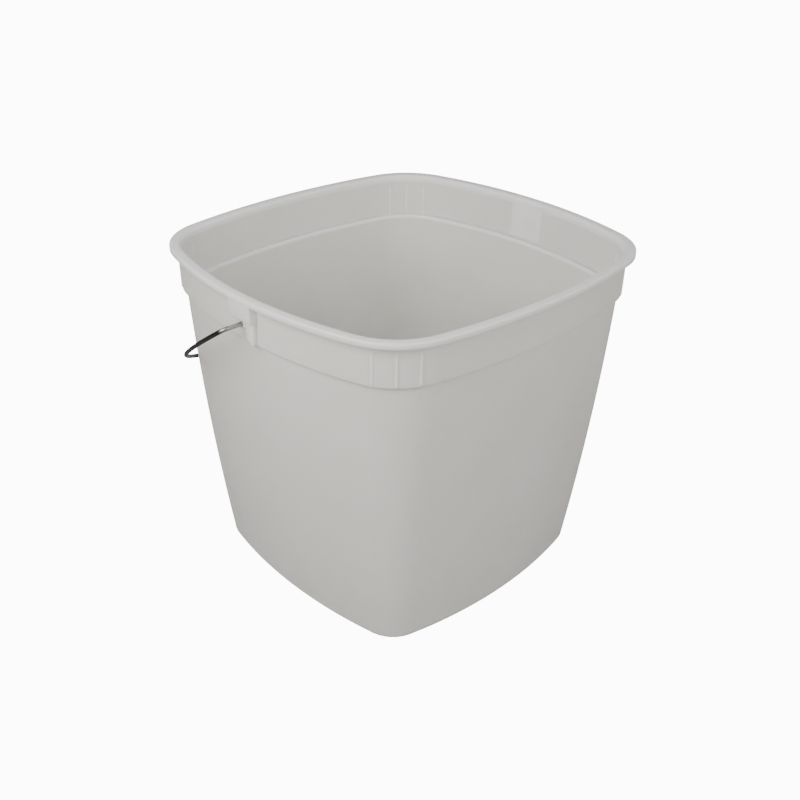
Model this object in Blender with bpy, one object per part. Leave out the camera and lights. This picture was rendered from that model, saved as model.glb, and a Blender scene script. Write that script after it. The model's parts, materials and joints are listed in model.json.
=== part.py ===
"""Open fermenting bucket: a rounded-square polyethylene pail with a swinging wire bail.

Frame: the bucket stands on z = 0 with the middle of its base at the origin. The two ears are on
the +X and -X sides, and the bail hangs over the +Y side. All lengths are in metres.
"""

import math
from collections import namedtuple

import bmesh
import bpy
from mathutils import Matrix, Vector

# ---- overall size ----
HEIGHT = 0.259
WALL = 0.0024

# ---- outline of the lip, seen from above ----
RIM_HALF_X = 0.150
RIM_HALF_Y = 0.143
RIM_BOW_X = 0.336
RIM_BOW_Y = 0.492
RIM_CORNER = 0.055

# ---- outline of the foot, seen from above ----
BASE_HALF_X = 0.116
BASE_HALF_Y = 0.115
BASE_BOW_X = 0.394
BASE_BOW_Y = 0.369
BASE_CORNER = 0.028
WALL_BULGE = 0.002

# ---- foot and floor ----
FOOT_EDGE = 0.0045
FOOT_RING_WIDTH = 0.007
FOOT_RECESS = 0.0012
FLOOR_FILLET = 0.005

# ---- lip: a flange with a short skirt and a groove under it ----
LIP_HEIGHT = 0.0042
LIP_TOP_THICKNESS = 0.0022
LIP_SKIRT = 0.0018
LIP_EDGE_ROUND = 0.0009
LIP_INNER_ROUND = 0.003

# ---- shoulder band between the lip and the tapered wall ----
BAND_INSET_TOP = 0.0062
BAND_INSET_BOTTOM = 0.0067
BAND_DEPTH = 0.0342
BAND_EDGE = 0.0003
STEP_FILLET = 0.0022
SHOULDER_INSET = 0.0099
SHOULDER_DEPTH = 0.0375
LEDGE_DEPTH = 0.0350
LEDGE_ROUND = 0.0013

# ---- corner ribs, on both faces of the band ----
RIBS_PER_CORNER = 3
RIB_PITCH_DEG = 18.2
RIB_WIDTH = 0.0022
RIB_TAPER = 0.6
RIB_PROUD_OUTSIDE = 0.0009
RIB_PROUD_INSIDE = 0.0006
RIB_INNER_TOP_DEPTH = 0.0100
RIB_INNER_DRAFT = 0.0004

# ---- ears ----
# The ears' solids reach into the wall, and into each other, by these small laps.
WALL_LAP = 0.0006
LIP_LAP = 0.0004
EAR_LAP = 0.0010
PIVOT_Z = HEIGHT - 0.0206
EAR_ROOT_X = RIM_HALF_X - BAND_INSET_BOTTOM - WALL_LAP
APRON_NEAR_Y = -0.0098
APRON_FAR_Y = 0.0130
APRON_TOP_X = RIM_HALF_X - 0.0003
APRON_FOOT_X = RIM_HALF_X - 0.0014
APRON_DEPTH = 0.0170
POST_X = RIM_HALF_X - 0.0038
POST_TOP_NEAR_Y = 0.0075
POST_TOP_FAR_Y = 0.0126
POST_FOOT_NEAR_Y = 0.0057
POST_FOOT_FAR_Y = 0.0113
POST_DEPTH = BAND_DEPTH - 0.0004
POST_CHAMFER = 0.0006
WEB_X = RIM_HALF_X - 0.0054
WEB_TOP_NEAR_Y = 0.0005
WEB_FOOT_NEAR_Y = 0.0038
WEB_DEPTH = POST_DEPTH - 0.0008
BOSS_RADIUS = 0.0040
BOSS_X = RIM_HALF_X - 0.0017
SOCKET_RADIUS = 0.00195
SOCKET_BOTTOM_X = RIM_HALF_X - 0.0076
SOCKET_END_X = RIM_HALF_X + 0.0020

# ---- bail ----
WIRE_RADIUS = 0.0016
BAIL_REST_DEG = 34.5
BAIL_END_X = SOCKET_BOTTOM_X + 0.0004
BAIL_BEND_RADIUS = 0.0050
BAIL_ARC_RADIUS = 0.1624
BAIL_ARC_CENTRE = 0.0188
CROWN_HALF_WIDTH = 0.0560
CROWN_BEND_RADIUS = 0.0120

# ---- grip on the middle of the bail ----
GRIP_HALF_LENGTH = 0.0440
GRIP_BORE_RADIUS = 0.0022
GRIP_RADIUS = 0.0070
GRIP_FLANGE_RADIUS = 0.0090
GRIP_FLANGE_WIDTH = 0.0035
GRIP_EDGE = 0.0008
GRIP_NECK = 0.0006
GRIP_BEAD_COUNT = 5
GRIP_BEAD_HEIGHT = 0.0008
GRIP_BEAD_SHARE = 0.5

# ---- materials: colour, roughness and metallic ----
NATURAL_PLASTIC = ((0.74, 0.735, 0.71), 0.38, 0.0)
STEEL_WIRE = ((0.42, 0.42, 0.41), 0.32, 1.0)
WHITE_PLASTIC = ((0.82, 0.82, 0.80), 0.42, 0.0)

# ---- mesh resolution ----
SHARP_ANGLE_DEG = 35.0
SIDE_STEPS = 10
CORNER_STEPS = 8
WALL_STEPS = 5
BOSS_SIDES = 28
SOCKET_SIDES = 20
WIRE_SIDES = 12
BAIL_BEND_STEPS = 6
BAIL_ARC_STEPS = 20
CROWN_BEND_STEPS = 3
GRIP_SIDES = 20
BEAD_STEPS = 4

Outline = namedtuple("Outline", "half_x half_y bow_x bow_y corner")
RIM = Outline(RIM_HALF_X, RIM_HALF_Y, RIM_BOW_X, RIM_BOW_Y, RIM_CORNER)
BASE = Outline(BASE_HALF_X, BASE_HALF_Y, BASE_BOW_X, BASE_BOW_Y, BASE_CORNER)


# ---------------------------------------------------------------- outlines

def inset(outline, distance):
    """The parallel outline, a distance inside this one."""
    return Outline(*(size - distance for size in outline))


def blend(first, second, share):
    """An outline between two others."""
    return Outline(*(a + (b - a) * share for a, b in zip(first, second)))


def corner_centre(outline):
    """Centre of the corner arc that is tangent to both bowed sides."""
    ear_side = Vector((outline.half_x - outline.bow_x, 0.0))
    plain_side = Vector((0.0, outline.half_y - outline.bow_y))
    ear_reach = outline.bow_x - outline.corner
    plain_reach = outline.bow_y - outline.corner
    apart = plain_side - ear_side
    along = (ear_reach ** 2 - plain_reach ** 2 + apart.length ** 2) / (2.0 * apart.length)
    across = math.sqrt(ear_reach ** 2 - along ** 2)
    direction = apart.normalized()
    normal = Vector((-direction.y, direction.x))
    foot = ear_side + direction * along
    return max((foot + normal * across, foot - normal * across), key=lambda point: point.x + point.y)


def corner_angles(outline):
    """Start and end angle of the corner arc in the +X +Y quarter."""
    centre = corner_centre(outline)
    start = math.atan2(centre.y, centre.x - (outline.half_x - outline.bow_x))
    end = math.atan2(centre.y - (outline.half_y - outline.bow_y), centre.x)
    return start, end


def outline_points(outline):
    """Points round the outline, counter-clockwise, with the same number for every outline."""
    start, end = corner_angles(outline)
    centre = corner_centre(outline)
    turn = end - start
    arcs = [(outline.half_x - outline.bow_x, 0.0, outline.bow_x, -start, 2.0 * start, SIDE_STEPS),
            (centre.x, centre.y, outline.corner, start, turn, CORNER_STEPS),
            (0.0, outline.half_y - outline.bow_y, outline.bow_y, end, math.pi - 2.0 * end, SIDE_STEPS),
            (-centre.x, centre.y, outline.corner, math.pi - end, turn, CORNER_STEPS)]
    half = []
    for centre_x, centre_y, radius, first, sweep, steps in arcs:
        for step in range(steps):
            angle = first + sweep * step / steps
            half.append((centre_x + radius * math.cos(angle), centre_y + radius * math.sin(angle)))
    return half + [(-x, -y) for x, y in half]


def wall_outline(z):
    """Outer outline of the tapered wall at a height."""
    share = (HEIGHT - SHOULDER_DEPTH - z) / (HEIGHT - SHOULDER_DEPTH - FOOT_EDGE)
    bulge = WALL_BULGE * 4.0 * share * (1.0 - share)
    plain = blend(inset(RIM, SHOULDER_INSET), BASE, share)
    return Outline(plain.half_x + bulge, plain.half_y + bulge, plain.bow_x, plain.bow_y, plain.corner)


# ---------------------------------------------------------------- mesh helpers

def arc(centre, radius, start_deg, end_deg, steps):
    """Points (inset, z) on an arc; 0 degrees points inwards and 90 degrees points up."""
    points = []
    for step in range(steps + 1):
        angle = math.radians(start_deg + (end_deg - start_deg) * step / steps)
        points.append((centre[0] + radius * math.cos(angle), centre[1] + radius * math.sin(angle)))
    return points


def material(name, colour, roughness, metallic):
    made = bpy.data.materials.new(name)
    made.use_nodes = True
    shader = made.node_tree.nodes["Principled BSDF"]
    shader.inputs["Base Color"].default_value = (*colour, 1.0)
    shader.inputs["Roughness"].default_value = roughness
    shader.inputs["Metallic"].default_value = metallic
    return made


def mesh_object(name, mesh_builder, made_material=None):
    """Object from a bmesh, with its normals outwards and its round faces smooth."""
    bmesh.ops.recalc_face_normals(mesh_builder, faces=mesh_builder.faces)
    mesh = bpy.data.meshes.new(name)
    mesh_builder.to_mesh(mesh)
    mesh_builder.free()
    mesh.shade_smooth()
    mesh.set_sharp_from_angle(angle=math.radians(SHARP_ANGLE_DEG))
    made = bpy.data.objects.new(name, mesh)
    bpy.context.collection.objects.link(made)
    if made_material:
        mesh.materials.append(made_material)
    return made


def skin_rings(mesh_builder, rings, closed):
    """Quads between neighbouring rings of points, and a face on each open end."""
    rows = [[mesh_builder.verts.new(point) for point in ring] for ring in rings]
    pairs = list(zip(rows, rows[1:]))
    if closed:
        pairs.append((rows[-1], rows[0]))
    for lower, upper in pairs:
        for index in range(len(lower)):
            following = (index + 1) % len(lower)
            mesh_builder.faces.new((lower[index], lower[following], upper[following], upper[index]))
    if not closed:
        mesh_builder.faces.new(rows[0])
        mesh_builder.faces.new(rows[-1])


def helper(name, mesh_builder):
    """A solid that is only used to shape another piece."""
    made = mesh_object(name, mesh_builder)
    made.hide_render = True
    made.display_type = "WIRE"
    return made


def apply_helper(target, tool, operation):
    cut = target.modifiers.new(tool.name, "BOOLEAN")
    cut.operation = operation
    cut.solver = "EXACT"
    cut.object = tool


def add_slab(mesh_builder, profile, near_side, far_side, turn):
    """A solid along Y from an (x, z) profile, turned about Z; a side is its y at foot and top."""
    foot = min(z for x, z in profile)
    height = max(z for x, z in profile) - foot
    rings = []
    for foot_y, top_y in (near_side, far_side):
        lean = (top_y - foot_y) / height
        rings.append([turn @ Vector((x, foot_y + lean * (z - foot), z)) for x, z in profile])
    skin_rings(mesh_builder, rings, closed=False)


def add_rod(mesh_builder, start_x, end_x, radius, sides, turn):
    """A rod on the pivot axis, turned about Z."""
    rings = []
    for x in (start_x, end_x):
        rings.append([turn @ Vector((x, radius * math.cos(angle), PIVOT_Z + radius * math.sin(angle)))
                      for angle in (2.0 * math.pi * side / sides for side in range(sides))])
    skin_rings(mesh_builder, rings, closed=False)


# ---------------------------------------------------------------- bucket

def foot_rings():
    """Underside: a recessed panel, a flat foot ring and the rounded bottom edge."""
    ring_inner = FOOT_EDGE + FOOT_RING_WIDTH
    rings = [(inset(BASE, ring_inner + FOOT_RECESS), FOOT_RECESS), (inset(BASE, ring_inner), 0.0)]
    for distance, z in arc((FOOT_EDGE, FOOT_EDGE), FOOT_EDGE, -90.0, -180.0, 3):
        rings.append((inset(BASE, distance), z))
    return rings


def outer_wall_rings():
    top = HEIGHT - SHOULDER_DEPTH
    heights = [FOOT_EDGE + (top - FOOT_EDGE) * step / WALL_STEPS for step in range(1, WALL_STEPS + 1)]
    return [(wall_outline(z), z) for z in heights]


def step_and_lip_rings():
    """The step out to the band, the band, and the lip with the groove under it."""
    step_z = HEIGHT - BAND_DEPTH
    fillet_centre = (SHOULDER_INSET - STEP_FILLET, step_z - STEP_FILLET)
    profile = arc(fillet_centre, STEP_FILLET, 0.0, 90.0, 3)
    profile.append((BAND_INSET_BOTTOM + BAND_EDGE, step_z))
    profile.append((BAND_INSET_BOTTOM, step_z + BAND_EDGE))
    groove_z = HEIGHT - LIP_TOP_THICKNESS
    profile.append((BAND_INSET_TOP, groove_z - LIP_EDGE_ROUND))
    profile.append((BAND_INSET_TOP - LIP_EDGE_ROUND, groove_z))
    profile.append((LIP_SKIRT + LIP_EDGE_ROUND, groove_z))
    skirt_z = HEIGHT - LIP_HEIGHT
    half_edge = LIP_EDGE_ROUND / 2.0
    profile.append((LIP_SKIRT, groove_z - LIP_EDGE_ROUND))
    profile.append((LIP_SKIRT - half_edge, skirt_z))
    profile += arc((half_edge, skirt_z + half_edge), half_edge, -90.0, -180.0, 2)
    profile += arc((LIP_EDGE_ROUND, HEIGHT - LIP_EDGE_ROUND), LIP_EDGE_ROUND, 180.0, 90.0, 3)
    inner_face = BAND_INSET_TOP + WALL
    inner_centre = (inner_face - LIP_INNER_ROUND, HEIGHT - LIP_INNER_ROUND)
    profile += arc(inner_centre, LIP_INNER_ROUND, 90.0, 0.0, 4)
    return [(inset(RIM, distance), z) for distance, z in profile]


def ledge_rings():
    """Inside of the band and the ledge where the wall steps in."""
    ledge_z = HEIGHT - LEDGE_DEPTH
    band_face = BAND_INSET_BOTTOM + WALL
    wall_face = SHOULDER_INSET + WALL
    profile = arc((band_face + LEDGE_ROUND, ledge_z + LEDGE_ROUND), LEDGE_ROUND, 180.0, 270.0, 2)
    profile += arc((wall_face - LEDGE_ROUND, ledge_z - LEDGE_ROUND), LEDGE_ROUND, 90.0, 0.0, 2)
    return [(inset(RIM, distance), z) for distance, z in profile]


def inner_wall_rings():
    floor_z = FOOT_RECESS + WALL
    top = HEIGHT - SHOULDER_DEPTH
    low = floor_z + FLOOR_FILLET
    heights = [top + (low - top) * step / WALL_STEPS for step in range(WALL_STEPS)]
    rings = [(inset(wall_outline(z), WALL), z) for z in heights]
    wall_face = inset(wall_outline(low), WALL)
    for distance, z in arc((FLOOR_FILLET, low), FLOOR_FILLET, 180.0, 270.0, 3):
        rings.append((inset(wall_face, distance), z))
    return rings


def rib_angles():
    """Directions of the ribs about the corner's centre, in the +X +Y quarter."""
    start, end = corner_angles(RIM)
    middle = (start + end) / 2.0
    return [middle + math.radians(RIB_PITCH_DEG) * (index - (RIBS_PER_CORNER - 1) / 2.0)
            for index in range(RIBS_PER_CORNER)]


def add_rib(mesh_builder, angle, mirror, low, high, near_radius, far_radius):
    """One rib: a bar across the band's face, low and high are (z, shift) of its two ends."""
    centre = corner_centre(RIM)
    out = Vector((math.cos(angle), math.sin(angle), 0.0))
    side = Vector((-out.y, out.x, 0.0)) * (RIB_WIDTH / 2.0)
    rings = []
    for z, shift in (low, high):
        base = Vector((centre.x, centre.y, z))
        near = base + out * (near_radius + shift)
        far = base + out * (far_radius + shift)
        ring = [near - side, far - side * RIB_TAPER, far + side * RIB_TAPER, near + side]
        rings.append([Vector((point.x * mirror[0], point.y * mirror[1], point.z)) for point in ring])
    skin_rings(mesh_builder, rings, closed=False)


def corner_ribs(outside):
    """All ribs on one face of the band."""
    builder = bmesh.new()
    draft = BAND_INSET_BOTTOM - BAND_INSET_TOP
    outer_radius = RIM_CORNER - BAND_INSET_BOTTOM
    inner_radius = outer_radius - WALL
    low_z = HEIGHT - BAND_DEPTH + BAND_EDGE
    top_z = HEIGHT - LIP_TOP_THICKNESS - LIP_LAP
    inner_low_z = HEIGHT - LEDGE_DEPTH - WALL_LAP
    inner_top_z = HEIGHT - RIB_INNER_TOP_DEPTH
    buried = WALL / 2.0
    for mirror in ((1, 1), (-1, 1), (-1, -1), (1, -1)):
        for angle in rib_angles():
            if outside:
                add_rib(builder, angle, mirror, (low_z, 0.0), (top_z, draft),
                        outer_radius - buried, outer_radius + RIB_PROUD_OUTSIDE)
            else:
                add_rib(builder, angle, mirror, (inner_low_z, 0.0), (inner_top_z, RIB_INNER_DRAFT),
                        inner_radius + buried, inner_radius - RIB_PROUD_INSIDE)
    return helper("outer_ribs" if outside else "inner_ribs", builder)


def ear_helpers():
    """The solids that make the two ears: aprons, posts, webs, bosses, and the sockets cut into them."""
    aprons, posts, webs, bosses, sockets = (bmesh.new() for _ in range(5))
    apron_foot_z = HEIGHT - APRON_DEPTH
    apron_top_z = HEIGHT - LIP_TOP_THICKNESS + LIP_LAP
    post_foot_z = HEIGHT - POST_DEPTH
    post_top_z = apron_foot_z + EAR_LAP
    apron_profile = [(EAR_ROOT_X, apron_foot_z), (APRON_FOOT_X, apron_foot_z),
                     (APRON_TOP_X, HEIGHT - LIP_HEIGHT), (APRON_TOP_X, apron_top_z),
                     (EAR_ROOT_X, apron_top_z)]
    post_profile = [(EAR_ROOT_X, post_foot_z), (POST_X - POST_CHAMFER, post_foot_z),
                    (POST_X, post_foot_z + POST_CHAMFER), (POST_X, post_top_z), (EAR_ROOT_X, post_top_z)]
    web_foot_z = HEIGHT - WEB_DEPTH
    web_profile = [(EAR_ROOT_X, web_foot_z), (WEB_X, web_foot_z), (WEB_X, post_top_z),
                   (EAR_ROOT_X, post_top_z)]
    for half_turns in (0, 1):
        turn = Matrix.Rotation(math.pi * half_turns, 3, "Z")
        add_slab(aprons, apron_profile, (APRON_NEAR_Y, APRON_NEAR_Y), (APRON_FAR_Y, APRON_FAR_Y), turn)
        add_slab(posts, post_profile, (POST_FOOT_NEAR_Y, POST_TOP_NEAR_Y),
                 (POST_FOOT_FAR_Y, POST_TOP_FAR_Y), turn)
        add_slab(webs, web_profile, (WEB_FOOT_NEAR_Y, WEB_TOP_NEAR_Y),
                 (POST_FOOT_NEAR_Y + EAR_LAP, POST_TOP_NEAR_Y + EAR_LAP), turn)
        add_rod(bosses, EAR_ROOT_X, BOSS_X, BOSS_RADIUS, BOSS_SIDES, turn)
        add_rod(sockets, SOCKET_BOTTOM_X, SOCKET_END_X, SOCKET_RADIUS, SOCKET_SIDES, turn)
    joined = [helper("ear_aprons", aprons), helper("ear_posts", posts), helper("ear_webs", webs),
              helper("ear_bosses", bosses)]
    return joined, helper("ear_sockets", sockets)


def make_bucket(plastic):
    levels = foot_rings() + outer_wall_rings() + step_and_lip_rings() + ledge_rings() + inner_wall_rings()
    rings = [[(x, y, z) for x, y in outline_points(outline)] for outline, z in levels]
    builder = bmesh.new()
    skin_rings(builder, rings, closed=False)
    body = mesh_object("bucket_body", builder, plastic)
    joined, sockets = ear_helpers()
    for tool in [corner_ribs(True), corner_ribs(False)] + joined:
        apply_helper(body, tool, "UNION")
    apply_helper(body, sockets, "DIFFERENCE")
    return body


# ---------------------------------------------------------------- bail and grip

def bend_centre_x():
    """Where the bend is centred, touching both the pivot axis run and the bail's arc."""
    reach = BAIL_ARC_RADIUS - BAIL_BEND_RADIUS
    return math.sqrt(reach ** 2 - (BAIL_BEND_RADIUS - BAIL_ARC_CENTRE) ** 2)


def arc_point(centre_x, centre_y, radius, angle):
    return Vector((centre_x + radius * math.cos(angle), centre_y + radius * math.sin(angle)))


def crown_reach():
    """Distance from the pivot axis to the straight middle of the bail."""
    edge_angle = math.asin(CROWN_HALF_WIDTH / BAIL_ARC_RADIUS)
    edge = BAIL_ARC_CENTRE + BAIL_ARC_RADIUS * math.cos(edge_angle)
    return edge + CROWN_BEND_RADIUS * (1.0 - math.cos(edge_angle))


def half_bail_path():
    """One half of the wire's centre line in the bail's plane, from the tip in the ear to the crown."""
    bend_x = bend_centre_x()
    touch = math.atan2(BAIL_BEND_RADIUS - BAIL_ARC_CENTRE, bend_x)
    crown = math.acos(CROWN_HALF_WIDTH / BAIL_ARC_RADIUS)
    path = [Vector((BAIL_END_X, 0.0))]
    for step in range(BAIL_BEND_STEPS):
        angle = -math.pi / 2.0 + (touch + math.pi / 2.0) * step / BAIL_BEND_STEPS
        path.append(arc_point(bend_x, BAIL_BEND_RADIUS, BAIL_BEND_RADIUS, angle))
    for step in range(BAIL_ARC_STEPS + 1):
        angle = touch + (crown - touch) * step / BAIL_ARC_STEPS
        path.append(arc_point(0.0, BAIL_ARC_CENTRE, BAIL_ARC_RADIUS, angle))
    centre = path[-1] - arc_point(0.0, 0.0, CROWN_BEND_RADIUS, crown)
    for step in range(1, CROWN_BEND_STEPS + 1):
        angle = crown + (math.pi / 2.0 - crown) * step / CROWN_BEND_STEPS
        path.append(arc_point(centre.x, centre.y, CROWN_BEND_RADIUS, angle))
    return path


def make_bail(steel):
    half = half_bail_path()
    path = half + [Vector((-point.x, point.y)) for point in reversed(half)]
    rings = []
    for index, point in enumerate(path):
        before = path[max(index - 1, 0)]
        after = path[min(index + 1, len(path) - 1)]
        along = (after - before).normalized()
        side = Vector((-along.y, along.x))
        ring = []
        for corner in range(WIRE_SIDES):
            angle = 2.0 * math.pi * corner / WIRE_SIDES
            place = point + side * WIRE_RADIUS * math.cos(angle)
            ring.append((place.x, place.y, WIRE_RADIUS * math.sin(angle)))
        rings.append(ring)
    builder = bmesh.new()
    skin_rings(builder, rings, closed=False)
    bail = mesh_object("bail_wire", builder, steel)
    bail.location = (0.0, 0.0, PIVOT_Z)
    bail.rotation_euler = (math.radians(-BAIL_REST_DEG), 0.0, 0.0)
    return bail


def grip_profile():
    """Closed (x, radius) profile of the grip: a bored tube with flanged ends and moulded beads."""
    body_half = GRIP_HALF_LENGTH - GRIP_FLANGE_WIDTH
    corner_radius = GRIP_FLANGE_RADIUS - GRIP_EDGE
    end = [(-GRIP_HALF_LENGTH, GRIP_BORE_RADIUS), (-GRIP_HALF_LENGTH, corner_radius),
           (-GRIP_HALF_LENGTH + GRIP_EDGE, GRIP_FLANGE_RADIUS),
           (-body_half - GRIP_EDGE, GRIP_FLANGE_RADIUS), (-body_half, corner_radius),
           (-body_half + GRIP_NECK, GRIP_RADIUS)]
    pitch = 2.0 * body_half / (GRIP_BEAD_COUNT + 1)
    beads = []
    for bead in range(GRIP_BEAD_COUNT):
        start = -body_half + pitch * (bead + 1 - GRIP_BEAD_SHARE / 2.0)
        for step in range(BEAD_STEPS + 1):
            lift = GRIP_BEAD_HEIGHT * math.sin(math.pi * step / BEAD_STEPS)
            beads.append((start + pitch * GRIP_BEAD_SHARE * step / BEAD_STEPS, GRIP_RADIUS + lift))
    return end + beads + [(-x, radius) for x, radius in reversed(end)]


def make_grip(plastic, bail):
    profile = grip_profile()
    rings = []
    for side in range(GRIP_SIDES):
        angle = 2.0 * math.pi * side / GRIP_SIDES
        rings.append([(x, radius * math.cos(angle), radius * math.sin(angle)) for x, radius in profile])
    builder = bmesh.new()
    skin_rings(builder, rings, closed=True)
    grip = mesh_object("bail_grip", builder, plastic)
    grip.parent = bail
    grip.location = (0.0, crown_reach(), 0.0)
    return grip


def main():
    for old in list(bpy.data.objects):
        bpy.data.objects.remove(old)
    make_bucket(material("natural_polyethylene", *NATURAL_PLASTIC))
    bail = make_bail(material("bright_steel_wire", *STEEL_WIRE))
    make_grip(material("white_polyethylene", *WHITE_PLASTIC), bail)


main()
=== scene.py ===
"""The looks of the open fermenting bucket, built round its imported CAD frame.

Three detailed pieces stand for the three CAD nodes: the moulded shell, the bail's wire rod and the
grip tube. Each is in the frame's own place and metres, and rides on its CAD body.
"""

import json
import math
from collections import namedtuple

import bmesh
import bpy
from mathutils import Matrix, Vector


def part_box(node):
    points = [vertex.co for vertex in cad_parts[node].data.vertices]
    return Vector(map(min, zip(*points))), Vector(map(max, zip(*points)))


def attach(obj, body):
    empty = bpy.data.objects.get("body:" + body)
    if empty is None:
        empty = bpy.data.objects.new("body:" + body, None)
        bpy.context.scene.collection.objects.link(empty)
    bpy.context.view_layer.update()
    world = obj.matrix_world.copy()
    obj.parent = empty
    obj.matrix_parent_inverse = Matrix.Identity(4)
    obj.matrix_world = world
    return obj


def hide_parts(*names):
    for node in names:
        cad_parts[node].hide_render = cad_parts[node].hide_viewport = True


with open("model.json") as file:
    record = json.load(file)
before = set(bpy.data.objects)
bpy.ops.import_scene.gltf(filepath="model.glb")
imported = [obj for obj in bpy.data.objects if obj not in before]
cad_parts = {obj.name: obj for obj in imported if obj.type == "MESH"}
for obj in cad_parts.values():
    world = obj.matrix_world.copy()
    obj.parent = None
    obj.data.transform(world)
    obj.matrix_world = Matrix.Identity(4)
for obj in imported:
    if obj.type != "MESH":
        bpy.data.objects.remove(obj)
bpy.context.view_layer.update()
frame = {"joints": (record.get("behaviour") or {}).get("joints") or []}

# ---- places taken from the frame ----
BODY_LOW, BODY_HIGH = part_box("bucket_body")
GRIP_LOW, GRIP_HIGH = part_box("bail_grip")
JOINTS = {joint["name"]: joint for joint in frame["joints"]}
PIVOT = Vector(JOINTS["bail_swing"]["pos_m"])
GRIP_CENTRE = Vector(JOINTS["grip_spin"]["pos_m"])
HEIGHT = BODY_HIGH.z
RIM_HALF_X = BODY_HIGH.x
RIM_HALF_Y = BODY_HIGH.y

# ---- outlines, seen from above ----
WALL = 0.0024
RIM_BOW_X = 0.336
RIM_BOW_Y = 0.492
RIM_CORNER = 0.055
BASE_HALF_X = 0.116
BASE_HALF_Y = 0.115
BASE_BOW_X = 0.394
BASE_BOW_Y = 0.369
BASE_CORNER = 0.028
WALL_BULGE = 0.002

# ---- foot and floor ----
FOOT_EDGE = 0.0045
FOOT_RING_WIDTH = 0.007
FOOT_RECESS = 0.0012
FLOOR_FILLET = 0.005
GATE_RADIUS = 0.0055
GATE_DEPTH = 0.0004
GATE_NUB_RADIUS = 0.0014
GATE_ROUND = 0.0006
PANEL_SHARES = (0.12, 0.4, 0.7)

# ---- lip ----
LIP_HEIGHT = 0.0042
LIP_TOP_THICKNESS = 0.0022
LIP_SKIRT = 0.0018
LIP_EDGE_ROUND = 0.0009
LIP_INNER_ROUND = 0.003

# ---- shoulder band and ledge ----
BAND_INSET_TOP = 0.0062
BAND_INSET_BOTTOM = 0.0067
BAND_DEPTH = 0.0342
BAND_EDGE = 0.0009
STEP_FILLET = 0.0022
SHOULDER_INSET = 0.0099
SHOULDER_DEPTH = 0.0375
LEDGE_DEPTH = 0.0350
LEDGE_ROUND = 0.0013

# ---- corner ribs, raised smoothly from both faces of the band ----
RIBS_PER_CORNER = 3
RIB_PITCH_DEG = 18.2
RIB_HALF_WIDTH = 0.0011
RIB_CREST_HALF_WIDTH = 0.0006
RIB_PROUD_OUTSIDE = 0.0007
RIB_PROUD_INSIDE = 0.0006
RIB_INNER_TOP_DEPTH = 0.0080
RIB_OUTER_TOP_DEPTH = 0.0080
RIB_END_ROUND = 0.0010
RIB_FADE = 0.0060
RIB_COLUMNS = 5
RIB_CLEARANCE = 1.3
RIB_RUN_IN_STEPS = 4
SHARE_DIGITS = 6

# ---- ears ----
WALL_LAP = 0.0006
LIP_LAP = 0.0004
EAR_LAP = 0.0010
EAR_ROOT_X = RIM_HALF_X - BAND_INSET_BOTTOM - WALL_LAP
APRON_NEAR_Y = -0.0098
APRON_FAR_Y = 0.0130
APRON_TOP_X = RIM_HALF_X - 0.0003
APRON_FOOT_X = RIM_HALF_X - 0.0014
APRON_DEPTH = 0.0170
POST_X = RIM_HALF_X - 0.0038
POST_TOP_NEAR_Y = 0.0075
POST_TOP_FAR_Y = 0.0126
POST_FOOT_NEAR_Y = 0.0057
POST_FOOT_FAR_Y = 0.0113
POST_DEPTH = BAND_DEPTH - 0.0004
WEB_X = RIM_HALF_X - 0.0044
WEB_TOP_NEAR_Y = 0.0005
WEB_FOOT_NEAR_Y = 0.0038
WEB_DEPTH = POST_DEPTH - 0.0008
BOSS_RADIUS = 0.0034
BOSS_X = RIM_HALF_X - 0.0034
EAR_EDGE_ROUND = 0.0006
EAR_ROUND_SEGMENTS = 4
EAR_SHARP_ANGLE_DEG = 19.0
SOCKET_RADIUS = 0.00195
SOCKET_BOTTOM_X = RIM_HALF_X - 0.0076
SOCKET_END_X = RIM_HALF_X + 0.0020

# ---- bail ----
WIRE_RADIUS = 0.0016
WIRE_END_ROUND = 0.0004
WIRE_END_STEPS = 3
BAIL_END_X = SOCKET_BOTTOM_X + 0.0004
BAIL_BEND_RADIUS = 0.0050
BAIL_ARC_RADIUS = 0.1624
BAIL_ARC_CENTRE = 0.0188
CROWN_HALF_WIDTH = 0.0560
CROWN_BEND_RADIUS = 0.0120

# ---- grip ----
GRIP_HALF_LENGTH = GRIP_HIGH.x
GRIP_BORE_RADIUS = 0.0022
GRIP_RADIUS = 0.0070
GRIP_FLANGE_RADIUS = 0.0090
GRIP_FLANGE_WIDTH = 0.0035
GRIP_EDGE = 0.0008
GRIP_NECK = 0.0006
GRIP_BEAD_COUNT = 5
GRIP_BEAD_HEIGHT = 0.0008
GRIP_BEAD_SHARE = 0.5

# ---- mesh resolution ----
SIDE_STEPS = 36
CORNER_STEPS = 24
WALL_STEPS = 30
BAND_STEPS = 40
ROUND_STEPS = 6
BOSS_SIDES = 64
WIRE_SIDES = 32
BAIL_BEND_STEPS = 14
BAIL_ARC_STEPS = 80
CROWN_BEND_STEPS = 8
GRIP_SIDES = 72
BEAD_STEPS = 12
SHARP_ANGLE_DEG = 38.0

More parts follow.
